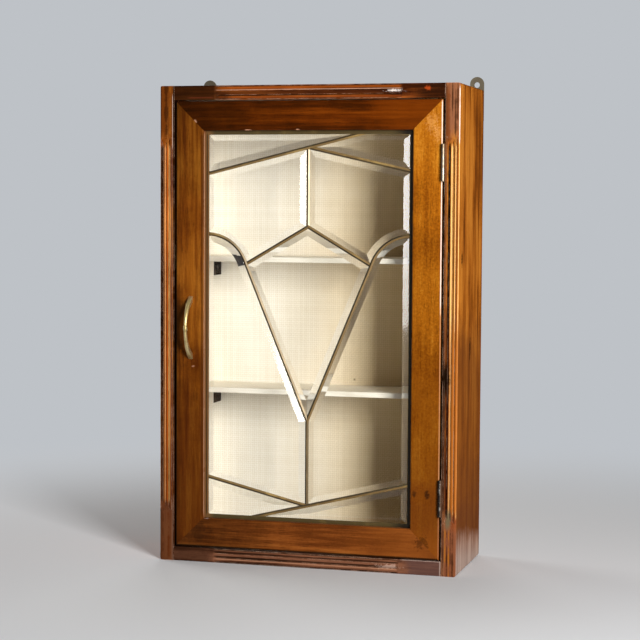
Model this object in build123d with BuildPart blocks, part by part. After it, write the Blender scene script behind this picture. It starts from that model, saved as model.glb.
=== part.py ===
from build123d import *
import os
from math import atan, degrees

# Wooden wall cabinet with one inset door, glazed with nine bevelled panes in brass cames.
# Sizes are in millimetres. +X is to the right, +Y towards the wall, +Z up.
# The origin is the middle of the bottom face.

os.makedirs("parts", exist_ok=True)

# Carcass
cabinet_width = 448.0
cabinet_height = 700.0
cabinet_depth = 175.0
side_thickness = 22.0
end_thickness = 21.0
side_edge_round = 3.5
end_edge_round = 1.2

# Back panel and lining
back_thickness = 8.0
back_lap = 10.0
back_fit_gap = 0.5
lining_thickness = 1.0

# Reeded moulding on the front of the side boards, the same way round on both
reed_pitch = 5.4
reed_round = 1.5
reed_step = 1.8
reed_cove_width = 3.2
reed_cove_depth = 6.6
reed_fillet_width = 2.6
reed_overrun = 0.6
reed_margin = 75.0
reed_stop_length = 27.0
reed_count = 3

# Reeded moulding on the front of the top and bottom boards
end_reed_pitch = 6.4
end_reed_valley = 1.9
end_reed_round = 1.5
end_reed_margin = 62.0
end_reed_stop_length = 22.0
end_reed_count = 3

# Shelves
shelf_thickness = 8.0
shelf_setback = 70.0
shelf_fit_gap = 1.0
shelf_edge_round = 1.0
shelf_upper_height = 450.0
shelf_lower_height = 253.0
cleat_width = 17.0
cleat_height = 23.0
cleat_setback = 4.0
cleat_screw_inset = 18.0

# Door frame
door_thickness = 20.0
door_gap_side = 3.0
door_gap_end = 1.6
member_width = 43.0
door_edge_round = 2.2
sight_edge_round = 3.0
lip_thickness = 8.0
rebate_width = 7.0
stop_width = 8.0
stop_depth = 10.0
stop_gap = 0.5

# Glass and cames
glass_thickness = 6.0
pane_edge_thickness = 1.8
bevel_width = 8.5
came_width = 5.0
came_web = 1.2
came_flange = 1.4
came_crown = 1.1
came_ridge = 0.6
came_glass_play = 0.1
pane_edge_gap = 0.2
border_sight = 5.5
border_fit_gap = 0.5
bead_mitre_gap = 0.2

# Came pattern, measured from the edges and the middle of the visible glass
apex_drop = 18.7
sash_left_drop = 56.6
sash_right_drop = 53.0
collar_rise = 146.0
arch_rise = 134.3
shoulder_rise = 91.0
shoulder_inset = 56.5
tip_fall = 135.5
foot_rise = 18.7
skirt_left_rise = 56.0
skirt_right_rise = 56.6

# Butt hinges
hinge_length = 50.0
hinge_margin = 112.0
leaf_width = 16.0
leaf_thickness = 1.5
leaf_gap = 1.4
knuckle_radius = 3.2
knuckle_count = 5
knuckle_gap = 0.2
knuckle_stand_off = 0.4
pin_radius = 1.5
pin_play = 0.05
pin_head_height = 1.5
hinge_screw_spacing = 28.0
hinge_screw_setback = 9.5

# Bow handle
handle_length = 93.0
handle_height = 346.5
handle_inset = 23.0
handle_projection = 25.5
handle_thickness = 4.4
handle_foot_height = 9.0
handle_waist_width = 3.6
handle_foot_width = 7.4
handle_facet_width = 1.6
handle_facet_depth = 0.8
handle_bead_radius = 3.1
handle_bead_height = 15.0
handle_screw_radius = 1.6
handle_screw_grip = 3.0
handle_screw_head_radius = 3.2
handle_screw_head_height = 1.6

# Ball catch
catch_height = 450.0
catch_barrel_radius = 4.0
catch_barrel_length = 16.0
catch_bore_radius = 2.6
catch_floor = 1.2
catch_lip = 0.3
catch_lip_grip = 0.05
ball_radius = 2.5
ball_proud = 1.3
ball_travel = 1.3
spring_wire_radius = 0.3
spring_radius = 1.7
spring_pitch = 1.5
spring_end_gap = 0.15
strike_length = 36.0
strike_width = 12.0
strike_thickness = 1.0
strike_hole_radius = 2.2
strike_well_depth = 3.0
strike_screw_spacing = 26.0

# Hanging plates
plate_left_inset = 17.0
plate_right_inset = 10.5
plate_width = 21.0
plate_thickness = 2.0
plate_rise = 19.4
plate_drop = 46.0
plate_hole_radius = 4.2
plate_hole_drop = 12.0
plate_screw_spacing = 24.0
plate_screw_margin = 10.0

# Fasteners
screw_head_radius = 2.7
screw_radius = 1.4
screw_length = 12.0
cleat_screw_head_radius = 3.4
cleat_screw_radius = 1.8
cleat_screw_length = 27.0
plate_screw_length = 18.0
fastener_play = 0.05
dowel_radius = 4.0
dowel_length = 36.0
dowel_in_side = 14.0
dowel_inset = 40.0
dowel_end_play = 0.5
nail_radius = 0.8
nail_length = 20.0
nail_head_radius = 1.7
nail_head_thickness = 0.6
nail_edge = 5.0
nail_columns = 4
nail_rows = 5

# How far a cutting shape reaches past the wood it cuts
cut_over = 5.0

# Places worked out from the sizes above
front_y = -cabinet_depth / 2
rear_y = cabinet_depth / 2
outer_half = cabinet_width / 2
inner_half = outer_half - side_thickness
floor_z = end_thickness
ceiling_z = cabinet_height - end_thickness
panel_y = rear_y - back_thickness
back_lining_y = panel_y - lining_thickness
lined_half = inner_half - lining_thickness

door_half = inner_half - door_gap_side
door_bottom = floor_z + door_gap_end
door_top = ceiling_z - door_gap_end
door_rear_y = front_y + door_thickness
stop_front_y = door_rear_y + stop_gap
lining_front_y = stop_front_y + stop_depth

opening_half = door_half - member_width
sight_half = opening_half - border_sight
sight_bottom = door_bottom + member_width + border_sight
sight_top = door_top - member_width - border_sight
sight_middle = (sight_bottom + sight_top) / 2
sight_height = sight_top - sight_bottom

came_front_y = front_y + lip_thickness
channel_front_y = came_front_y + came_flange
channel_rear_y = channel_front_y + pane_edge_thickness + 2 * came_glass_play
came_rear_y = channel_rear_y + came_flange
pane_rear_y = channel_rear_y - came_glass_play
pane_land_y = pane_rear_y - pane_edge_thickness
bevel_rise = glass_thickness - pane_edge_thickness
bevel_angle = degrees(atan(bevel_width / bevel_rise))
crown_angle = degrees(atan((came_width - came_ridge) / 2 / came_crown))

hinge_x = inner_half - door_gap_side / 2
hinge_y = front_y - knuckle_radius - knuckle_stand_off
hinge_heights = {"upper": cabinet_height - hinge_margin, "lower": hinge_margin}
handle_x = handle_inset - door_half
shelf_heights = {"upper": shelf_upper_height, "lower": shelf_lower_height}


def save(piece, name):
    """Name a finished piece and write it out."""
    piece.part.label = name
    export_step(piece.part, f"parts/{name}.step")


def block(low, high, mode=Mode.ADD):
    """A box between two opposite corners."""
    size = [b - a for a, b in zip(low, high)]
    with Locations(tuple((a + b) / 2 for a, b in zip(low, high))):
        Box(*size, mode=mode)


def upright_at(y):
    """The XZ plane at depth y: sketches on it are drawn as seen from the front."""
    return Plane.XZ.offset(-y)


def screws(planes, head_radius, radius, length, play=0.0, mode=Mode.ADD):
    """Countersunk screws with heads flush in the given planes, or with play, their holes."""
    head_height = head_radius - radius
    with Locations(*planes):
        Cylinder(radius + play, length + play, align=(Align.CENTER, Align.CENTER, Align.MAX), mode=mode)
        Cone(
            radius + play,
            head_radius + play,
            head_height,
            align=(Align.CENTER, Align.CENTER, Align.MAX),
            mode=mode,
        )


def screw_holes(planes, kind):
    """Holes for countersunk screws of one kind."""
    screws(planes, **kind, play=fastener_play, mode=Mode.SUBTRACT)


small_screw = dict(head_radius=screw_head_radius, radius=screw_radius, length=screw_length)
plate_screw = dict(head_radius=screw_head_radius, radius=screw_radius, length=plate_screw_length)
cleat_screw = dict(
    head_radius=cleat_screw_head_radius,
    radius=cleat_screw_radius,
    length=cleat_screw_length,
)


# Where the fasteners sit: each plane faces out of the head of its screw.
def facing(point, direction):
    """A plane at a point, facing along a direction."""
    return Plane(origin=point, z_dir=direction)


def hinge_screw_planes(face_x, direction):
    """Two screws in each hinge leaf, on the leaf face at face_x."""
    return [
        facing((face_x, front_y + hinge_screw_setback, z + side * hinge_screw_spacing / 2), direction)
        for z in hinge_heights.values()
        for side in (-1, 1)
    ]


frame_leaf_face_x = hinge_x + leaf_gap / 2
door_leaf_face_x = hinge_x - leaf_gap / 2
frame_hinge_screws = hinge_screw_planes(frame_leaf_face_x, (-1, 0, 0))
door_hinge_screws = hinge_screw_planes(door_leaf_face_x, (1, 0, 0))

catch_y = (front_y + door_rear_y) / 2
catch_mouth = facing((-door_half, catch_y, catch_height), (-1, 0, 0))
strike_middle = facing((-inner_half, catch_y, catch_height), (1, 0, 0))
strike_low = (-inner_half - strike_thickness, catch_y - strike_width / 2, catch_height - strike_length / 2)
strike_high = (-inner_half, catch_y + strike_width / 2, catch_height + strike_length / 2)
strike_screws = [
    facing((-inner_half, catch_y, catch_height + side * strike_screw_spacing / 2), (1, 0, 0))
    for side in (-1, 1)
]

cleat_front_y = front_y + shelf_setback + cleat_setback
cleat_middles = [top - shelf_thickness - cleat_height / 2 for top in shelf_heights.values()]
cleat_screws = {
    side: [
        facing((side * (lined_half - cleat_width), y, z), (-side, 0, 0))
        for z in cleat_middles
        for y in (cleat_front_y + cleat_screw_inset, back_lining_y - cleat_screw_inset)
    ]
    for side in (-1, 1)
}

plate_x = {"left": plate_left_inset - outer_half, "right": outer_half - plate_right_inset}
plate_rear_y = rear_y + plate_thickness
plate_bottom = cabinet_height - plate_drop
plate_screws = [
    facing((x, plate_rear_y, plate_bottom + plate_screw_margin + step * plate_screw_spacing), (0, 1, 0))
    for x in plate_x.values()
    for step in (0, 1)
]


def dowel_planes():
    """Two dowels in each corner of the carcass, each facing into its side board."""
    return [
        facing((side * inner_half, y, z), (side, 0, 0))
        for side in (-1, 1)
        for y in (front_y + dowel_inset, rear_y - dowel_inset)
        for z in (floor_z / 2, cabinet_height - end_thickness / 2)
    ]


def dowels(play=0.0, end_play=0.0, mode=Mode.ADD):
    """The dowels, or with play, their holes."""
    middle = dowel_in_side - dowel_length / 2
    with Locations(*[plane.offset(middle) for plane in dowel_planes()]):
        Cylinder(dowel_radius + play, dowel_length + 2 * end_play, mode=mode)


def nail_planes():
    """Nails around the edge of the back panel, in the middle of its lap."""
    edge_x = inner_half + nail_edge
    edge_low = floor_z - nail_edge
    edge_high = ceiling_z + nail_edge
    across = [-edge_x + 2 * edge_x * (i + 0.5) / nail_columns for i in range(nail_columns)]
    upward = [edge_low + (edge_high - edge_low) * (i + 0.5) / nail_rows for i in range(nail_rows)]
    points = [(x, z) for x in across for z in (edge_low, edge_high)]
    points += [(x, z) for x in (-edge_x, edge_x) for z in upward]
    return [facing((x, rear_y, z), (0, 1, 0)) for x, z in points]


def nails(play=0.0, mode=Mode.ADD):
    """The back panel's nails, heads flush, or with play, their holes."""
    with Locations(*nail_planes()):
        top = (Align.CENTER, Align.CENTER, Align.MAX)
        Cylinder(nail_radius + play, nail_length + play, align=top, mode=mode)
        Cylinder(nail_head_radius + play, nail_head_thickness, align=top, mode=mode)


# Moulding cutters: a reeded section, kept between two stops where the cutter lifts out.
def stop_outline(low, high, depth, stop_length):
    """Outline of a cut that rises to the surface in an arc at both ends, as (depth, length) points."""
    deep = front_y + depth
    Line((front_y - cut_over, low), (front_y, low))
    TangentArc((deep, low + stop_length), (front_y, low), tangent=(0, -1))
    Line((deep, low + stop_length), (deep, high - stop_length))
    TangentArc((deep, high - stop_length), (front_y, high), tangent=(0, 1))
    Line((front_y, high), (front_y - cut_over, high))
    Line((front_y - cut_over, high), (front_y - cut_over, low))


def side_reed_cut(start_x):
    """What is cut from a side board: a cove at start_x, then beads that rise to the right."""
    low = reed_margin
    high = cabinet_height - reed_margin
    foot = (start_x + reed_cove_width, front_y + reed_cove_depth)
    with BuildPart() as cutter:
        with BuildSketch(Plane.XY.offset(low)):
            with BuildLine():
                Line((start_x, front_y - cut_over), (start_x, front_y))
                SagittaArc((start_x, front_y), foot, -reed_round / 2)
                for _ in range(reed_count):
                    valley = (foot[0] + reed_pitch, foot[1] - reed_step)
                    SagittaArc(foot, valley, -reed_round)
                    foot = valley
                Line(foot, (foot[0], front_y - cut_over))
                Line((foot[0], front_y - cut_over), (start_x, front_y - cut_over))
            make_face()
        extrude(amount=high - low)
        with BuildSketch(Plane.YZ.offset(start_x - cut_over)):
            with BuildLine():
                stop_outline(low, high, reed_cove_depth + reed_round, reed_stop_length)
            make_face()
        extrude(amount=cabinet_width, mode=Mode.INTERSECT)
    return cutter.part


def end_reed_cut(bottom_z):
    """What is cut from the front of the top or bottom board: a row of level beads."""
    reach = inner_half - end_reed_margin
    low = bottom_z + (end_thickness - end_reed_count * end_reed_pitch) / 2
    with BuildPart() as cutter:
        with BuildSketch(Plane.YZ.offset(-reach)):
            with BuildLine():
                valley = front_y + end_reed_valley
                outside = front_y - cut_over
                Line((outside, low), (valley, low))
                for i in range(end_reed_count):
                    base = low + i * end_reed_pitch
                    SagittaArc((valley, base), (valley, base + end_reed_pitch), end_reed_round)
                high = low + end_reed_count * end_reed_pitch
                Line((valley, high), (outside, high))
                Line((outside, high), (outside, low))
            make_face()
        extrude(amount=2 * reach)
        with BuildSketch(Plane(origin=(0, 0, bottom_z - cut_over), x_dir=(0, 1, 0), z_dir=(0, 0, -1))):
            with BuildLine():
                stop_outline(-reach, reach, end_reed_valley + end_reed_round, end_reed_stop_length)
            make_face()
        extrude(amount=-(end_thickness + 2 * cut_over), mode=Mode.INTERSECT)
    return cutter.part


def back_pocket():
    """The rebate that the back panel sits in."""
    low = (-inner_half - back_lap, panel_y, floor_z - back_lap)
    high = (inner_half + back_lap, rear_y + cut_over, ceiling_z + back_lap)
    block(low, high, mode=Mode.SUBTRACT)


def hinge_mortises(low_x, high_x):
    """Shallow seats that the hinge leaves are let into."""
    for z in hinge_heights.values():
        low = (low_x, front_y - cut_over, z - hinge_length / 2)
        high = (high_x, front_y + leaf_width, z + hinge_length / 2)
        block(low, high, mode=Mode.SUBTRACT)


# Side boards
for side, name, reed_start in (
    (-1, "left", -outer_half - reed_overrun),
    (1, "right", inner_half + reed_fillet_width),
):
    reeds = side_reed_cut(reed_start)
    with BuildPart() as side_board:
        low_x, high_x = sorted((side * inner_half, side * outer_half))
        block((low_x, front_y, 0), (high_x, rear_y, cabinet_height))
        outer_face = side_board.faces().sort_by(Axis.X)[-1 if side > 0 else 0]
        rear_edge = outer_face.edges().sort_by(Axis.Y)[-1]
        fillet([edge for edge in outer_face.edges() if edge != rear_edge], side_edge_round)
        add(reeds, mode=Mode.SUBTRACT)
        back_pocket()
        dowels(fastener_play, dowel_end_play, Mode.SUBTRACT)
        nails(fastener_play, Mode.SUBTRACT)
        screw_holes(plate_screws, plate_screw)
        screw_holes(cleat_screws[side], cleat_screw)
        if side > 0:
            hinge_mortises(inner_half - cut_over, frame_leaf_face_x + leaf_thickness)
            screw_holes(frame_hinge_screws, small_screw)
        else:
            block(strike_low, strike_high, mode=Mode.SUBTRACT)
            with Locations(strike_middle):
                Cylinder(
                    strike_hole_radius,
                    strike_thickness + strike_well_depth,
                    align=(Align.CENTER, Align.CENTER, Align.MAX),
                    mode=Mode.SUBTRACT,
                )
            screw_holes(strike_screws, small_screw)
    save(side_board, f"side_board_{name}")

# Top and bottom boards, butted between the side boards
for name, bottom_z in (("top_board", ceiling_z), ("bottom_board", 0.0)):
    reeds = end_reed_cut(bottom_z)
    with BuildPart() as end_board:
        block((-inner_half, front_y, bottom_z), (inner_half, rear_y, bottom_z + end_thickness))
        long_front_edges = end_board.faces().sort_by(Axis.Y)[0].edges().filter_by(Axis.X)
        fillet(long_front_edges, end_edge_round)
        add(reeds, mode=Mode.SUBTRACT)
        back_pocket()
        dowels(fastener_play, dowel_end_play, Mode.SUBTRACT)
        nails(fastener_play, Mode.SUBTRACT)
        screw_holes(plate_screws, plate_screw)
    save(end_board, name)

with BuildPart() as carcass_dowels:
    dowels()
save(carcass_dowels, "carcass_dowels")

# Back panel and its nails
with BuildPart() as back_panel:
    lap = back_lap - back_fit_gap
    block((-inner_half - lap, panel_y, floor_z - lap), (inner_half + lap, rear_y, ceiling_z + lap))
    nails(fastener_play, Mode.SUBTRACT)
    screw_holes(plate_screws, plate_screw)
save(back_panel, "back_panel")

with BuildPart() as back_panel_nails:
    nails()
save(back_panel_nails, "back_panel_nails")

# Woven lining glued to the five inner faces
with BuildPart() as lining_back:
    block((-inner_half, back_lining_y, floor_z), (inner_half, panel_y, ceiling_z))
save(lining_back, "lining_back")

for name, low_z in (("lining_floor", floor_z), ("lining_ceiling", ceiling_z - lining_thickness)):
    with BuildPart() as lining_flat:
        low = (-inner_half, lining_front_y, low_z)
        high = (inner_half, back_lining_y, low_z + lining_thickness)
        block(low, high)
    save(lining_flat, name)

for side, name in ((-1, "lining_left"), (1, "lining_right")):
    with BuildPart() as lining_side:
        low_x, high_x = sorted((side * lined_half, side * inner_half))
        low = (low_x, lining_front_y, floor_z + lining_thickness)
        high = (high_x, back_lining_y, ceiling_z - lining_thickness)
        block(low, high)
        screw_holes(cleat_screws[side], cleat_screw)
    save(lining_side, name)

# Strip on the left that the closed door stops against
with BuildPart() as door_stop:
    low = (-inner_half, stop_front_y, floor_z)
    high = (-inner_half + stop_width, lining_front_y, ceiling_z)
    block(low, high)
save(door_stop, "door_stop")

# Shelves on their cleats
for name, top in shelf_heights.items():
    with BuildPart() as shelf:
        shelf_half = lined_half - shelf_fit_gap
        low = (-shelf_half, front_y + shelf_setback, top - shelf_thickness)
        high = (shelf_half, back_lining_y - shelf_fit_gap, top)
        block(low, high)
        fillet(shelf.faces().sort_by(Axis.Y)[0].edges().filter_by(Axis.X), shelf_edge_round)
    save(shelf, f"shelf_{name}")

    with BuildPart() as shelf_cleats:
        cleat_top = top - shelf_thickness
        for side in (-1, 1):
            low_x, high_x = sorted((side * (lined_half - cleat_width), side * lined_half))
            low = (low_x, cleat_front_y, cleat_top - cleat_height)
            high = (high_x, back_lining_y, cleat_top)
            block(low, high)
        for planes in cleat_screws.values():
            screw_holes(planes, cleat_screw)
    save(shelf_cleats, f"shelf_cleats_{name}")

with BuildPart() as cleat_screw_set:
    for planes in cleat_screws.values():
        screws(planes, **cleat_screw)
save(cleat_screw_set, "cleat_screws")

# Door frame: four mitred members, each drawn with its outer edge at zero
door_corners = {
    "bottom_left": (-door_half, front_y, door_bottom),
    "top_left": (-door_half, front_y, door_top),
    "top_right": (door_half, front_y, door_top),
    "bottom_right": (door_half, front_y, door_bottom),
}
door_width = 2 * door_half
door_height = door_top - door_bottom
members = {
    "stile_left": (Plane(door_corners["bottom_left"], (1, 0, 0), (0, 0, 1)), door_height),
    "rail_top": (Plane(door_corners["top_left"], (0, 0, -1), (1, 0, 0)), door_width),
    "stile_right": (Plane(door_corners["top_right"], (-1, 0, 0), (0, 0, -1)), door_height),
    "rail_bottom": (Plane(door_corners["bottom_right"], (0, 0, 1), (-1, 0, 0)), door_width),
}


def mitre_ends(plane, length, gap=0.0):
    """Cut both ends of the piece being made at 45 degrees, longest on its outer edge."""
    near_end = plane.origin + plane.z_dir * gap
    far_end = plane.origin + plane.z_dir * (length - gap)
    split(bisect_by=Plane(near_end, plane.y_dir, plane.z_dir - plane.x_dir), keep=Keep.TOP)
    split(bisect_by=Plane(far_end, plane.y_dir, -plane.z_dir - plane.x_dir), keep=Keep.TOP)


handle_feet = [handle_height + end * (handle_length - handle_foot_height) / 2 for end in (-1, 1)]
handle_screw_planes = [facing((handle_x, door_rear_y, z), (0, 1, 0)) for z in handle_feet]


def handle_fixings(play=0.0, mode=Mode.ADD):
    """Screws from inside the door into the feet of the handle, or with play, their holes."""
    top = (Align.CENTER, Align.CENTER, Align.MAX)
    with Locations(*handle_screw_planes):
        Cylinder(handle_screw_radius + play, door_thickness + handle_screw_grip + play, align=top, mode=mode)
        Cylinder(handle_screw_head_radius + play, handle_screw_head_height, align=top, mode=mode)


for name, (plane, length) in members.items():
    with BuildPart() as member:
        with BuildSketch(plane):
            rebate_edge = member_width - rebate_width
            with BuildLine():
                Line((door_edge_round, 0), (member_width - sight_edge_round, 0))
                RadiusArc(
                    (member_width - sight_edge_round, 0),
                    (member_width, sight_edge_round),
                    -sight_edge_round,
                )
                Polyline(
                    (member_width, sight_edge_round),
                    (member_width, lip_thickness),
                    (rebate_edge, lip_thickness),
                    (rebate_edge, door_thickness),
                    (0, door_thickness),
                    (0, door_edge_round),
                )
                RadiusArc((0, door_edge_round), (door_edge_round, 0), -door_edge_round)
            make_face()
        extrude(amount=length)
        mitre_ends(plane, length)
        if name == "stile_right":
            hinge_mortises(door_leaf_face_x - leaf_thickness, door_half + cut_over)
            screw_holes(door_hinge_screws, small_screw)
        if name == "stile_left":
            handle_fixings(fastener_play, Mode.SUBTRACT)
            with Locations(catch_mouth):
                Cylinder(
                    catch_barrel_radius + fastener_play,
                    catch_barrel_length,
                    align=(Align.CENTER, Align.CENTER, Align.MAX),
                    mode=Mode.SUBTRACT,
                )
    save(member, f"door_{name}")

# Glazing beads that hold the glass panel in its rebate
bead_inset = member_width - rebate_width
bead_parts = []
for plane, length in members.values():
    bead_plane = Plane(
        plane.origin + (plane.x_dir + plane.z_dir) * bead_inset + Vector(0, came_rear_y - front_y, 0),
        plane.x_dir,
        plane.z_dir,
    )
    bead_length = length - 2 * bead_inset
    with BuildPart() as bead:
        with BuildSketch(bead_plane):
            Rectangle(rebate_width, door_rear_y - came_rear_y, align=(Align.MIN, Align.MIN))
        extrude(amount=bead_length)
        mitre_ends(bead_plane, bead_length, bead_mitre_gap)
    bead_parts.append(bead.part)
with BuildPart() as glazing_beads:
    add(bead_parts)
save(glazing_beads, "glazing_beads")

# Corners of the came pattern, as (X, Z), with its lines drawn to the middle of each came
grid_half = sight_half + came_width / 2
grid_bottom = sight_bottom - came_width / 2
grid_top = sight_top + came_width / 2
shoulder_x = sight_half - shoulder_inset
apex = (0, sight_top - apex_drop)
collar = (0, sight_middle + collar_rise)
tip = (0, sight_middle - tip_fall)
foot = (0, sight_bottom + foot_rise)
sash_left = (-grid_half, sight_top - sash_left_drop)
sash_right = (grid_half, sight_top - sash_right_drop)
skirt_left = (-grid_half, sight_bottom + skirt_left_rise)
skirt_right = (grid_half, sight_bottom + skirt_right_rise)
arch_left = (-grid_half, sight_middle + arch_rise)
arch_right = (grid_half, sight_middle + arch_rise)
shoulder_left = (-shoulder_x, sight_middle + shoulder_rise)
shoulder_right = (shoulder_x, sight_middle + shoulder_rise)
sash_top = (grid_half * (grid_top - apex[1]) / (apex[1] - sash_left[1]), grid_top)
skirt_bottom = (-grid_half * (foot[1] - grid_bottom) / (skirt_right[1] - foot[1]), grid_bottom)
corner_top_left = (-grid_half, grid_top)
corner_top_right = (grid_half, grid_top)
corner_bottom_left = (-grid_half, grid_bottom)
corner_bottom_right = (grid_half, grid_bottom)


def strip(width, *points, arch=None):
    """A strip of a given width along straight runs, after an arch from the border if there is one."""
    with BuildSketch() as band:
        with BuildLine():
            if arch:
                TangentArc(arch, points[0], tangent=(-arch[0], 0))
            for start, end in zip(points, points[1:]):
                Line(start, end)
        trace(line_width=width)
        if arch:
            with Locations(points[0]):
                Circle(width / 2)
    return band.sketch


def beyond(start, end, extra):
    """The end of a run, carried on by an extra length."""
    run = Vector(*end) - Vector(*start)
    past = Vector(*end) + run.normalized() * extra
    return (past.X, past.Y)


# Each came's runs, the side of the middle line it keeps to, and the cames it is cut against
came_runs = {
    "came_top_long": dict(points=(sash_left, sash_top)),
    "came_bottom_long": dict(points=(skirt_bottom, skirt_right)),
    "came_v_left": dict(
        points=(shoulder_left, beyond(shoulder_left, tip, came_width)),
        arch=arch_left,
        half=-1,
    ),
    "came_v_right": dict(
        points=(shoulder_right, beyond(shoulder_right, tip, came_width)),
        arch=arch_right,
        half=1,
    ),
    "came_top_right": dict(points=(apex, sash_right), against=("came_top_long",)),
    "came_chevron_left": dict(
        points=(shoulder_left, beyond(shoulder_left, collar, came_width)),
        half=-1,
        against=("came_v_left",),
    ),
    "came_chevron_right": dict(
        points=(shoulder_right, beyond(shoulder_right, collar, came_width)),
        half=1,
        against=("came_v_right",),
    ),
    "came_upper_upright": dict(
        points=(apex, collar),
        against=("came_top_long", "came_top_right", "came_chevron_left", "came_chevron_right"),
    ),
    "came_bottom_left": dict(points=(skirt_left, foot), against=("came_bottom_long",)),
    "came_lower_upright": dict(
        points=(tip, foot),
        against=("came_v_left", "came_v_right", "came_bottom_long", "came_bottom_left"),
    ),
}


def came_face(name, width):
    """The front outline of a came: its strip inside the border, cut where it meets the others."""
    run = came_runs[name]
    half = run.get("half", 0)
    with BuildSketch() as face:
        add(strip(width, *run["points"], arch=run.get("arch")))
        with Locations((half * sight_half / 2, sight_middle)):
            clip_width = sight_half if half else 2 * sight_half
            Rectangle(clip_width, sight_height, mode=Mode.INTERSECT)
        for other in run.get("against", ()):
            add(came_face(other, came_width), mode=Mode.SUBTRACT)
    return face.sketch


def crown_outlines(name):
    """The strips under a came's crown: its straight run, and the arch before it if there is one."""
    start, end = came_runs[name]["points"]
    arch = came_runs[name].get("arch")
    outlines = [strip(came_width, beyond(end, start, came_width / 2), end)]
    if arch:
        outlines.append(strip(came_width, start, arch=arch))
    return outlines


# Layers of a came from front to back, under a crown that slopes up to a narrow ridge
came_layers = (
    (channel_front_y, came_flange - came_crown, came_width),
    (channel_rear_y, channel_rear_y - channel_front_y, came_web),
    (came_rear_y, came_flange, came_width),
)
for name in came_runs:
    with BuildPart() as came:
        for layer_rear_y, layer_depth, layer_width in came_layers:
            with BuildSketch(upright_at(layer_rear_y)):
                add(came_face(name, layer_width))
            extrude(amount=layer_depth)
        for outline in crown_outlines(name):
            with BuildSketch(upright_at(came_front_y + came_crown)):
                add(outline)
            extrude(amount=came_crown, taper=crown_angle)
        with BuildSketch(upright_at(came_rear_y)):
            add(came_face(name, came_width))
        extrude(amount=came_rear_y - came_front_y, mode=Mode.INTERSECT)
    save(came, name)

# Brass border around the panel, grooved for the panes
with BuildPart() as border_came:
    border_half = opening_half + rebate_width - border_fit_gap
    border_height = door_height - 2 * (member_width - rebate_width + border_fit_gap)
    groove_half = grid_half - came_web / 2
    groove_height = grid_top - grid_bottom - came_web
    with BuildSketch(upright_at(came_rear_y)):
        with Locations((0, sight_middle)):
            Rectangle(2 * border_half, border_height)
            Rectangle(2 * sight_half, sight_height, mode=Mode.SUBTRACT)
    extrude(amount=came_rear_y - came_front_y)
    with BuildSketch(upright_at(channel_rear_y)):
        with Locations((0, sight_middle)):
            Rectangle(2 * groove_half, groove_height)
    extrude(amount=channel_rear_y - channel_front_y, mode=Mode.SUBTRACT)
save(border_came, "border_came")

# Panes: corners in order, with an arch between the first corner and the last where there is one
panes = {
    "pane_top_left": dict(corners=(corner_top_left, sash_top, sash_left)),
    "pane_top_right": dict(corners=(sash_top, corner_top_right, sash_right, apex)),
    "pane_upper_left": dict(corners=(arch_left, sash_left, apex, collar, shoulder_left), arch=True),
    "pane_upper_right": dict(corners=(arch_right, sash_right, apex, collar, shoulder_right), arch=True),
    "pane_centre": dict(corners=(collar, shoulder_right, tip, shoulder_left)),
    "pane_lower_left": dict(corners=(arch_left, skirt_left, foot, tip, shoulder_left), arch=True),
    "pane_lower_right": dict(corners=(arch_right, skirt_right, foot, tip, shoulder_right), arch=True),
    "pane_bottom_left": dict(corners=(skirt_left, foot, skirt_bottom, corner_bottom_left)),
    "pane_bottom_right": dict(corners=(skirt_bottom, skirt_right, corner_bottom_right)),
}


def pane_outline(corners, arch, inset):
    """The area between the cames' middle lines, drawn in by an inset."""
    with BuildSketch() as outline:
        with BuildLine():
            Polyline(*corners, close=not arch)
            if arch:
                TangentArc(corners[0], corners[-1], tangent=(-corners[0][0], 0))
        make_face()
        offset(amount=-inset, kind=Kind.INTERSECTION)
    return outline.sketch


edge_inset = came_web / 2 + pane_edge_gap
land_inset = came_width / 2 + came_glass_play
for name, shape in panes.items():
    arch = shape.get("arch", False)
    with BuildPart() as pane:
        with BuildSketch(upright_at(pane_rear_y)):
            add(pane_outline(shape["corners"], arch, edge_inset))
        extrude(amount=pane_edge_thickness)
        with BuildSketch(upright_at(pane_land_y)):
            add(pane_outline(shape["corners"], arch, land_inset))
        extrude(amount=bevel_rise, taper=bevel_angle)
    save(pane, name)

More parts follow.
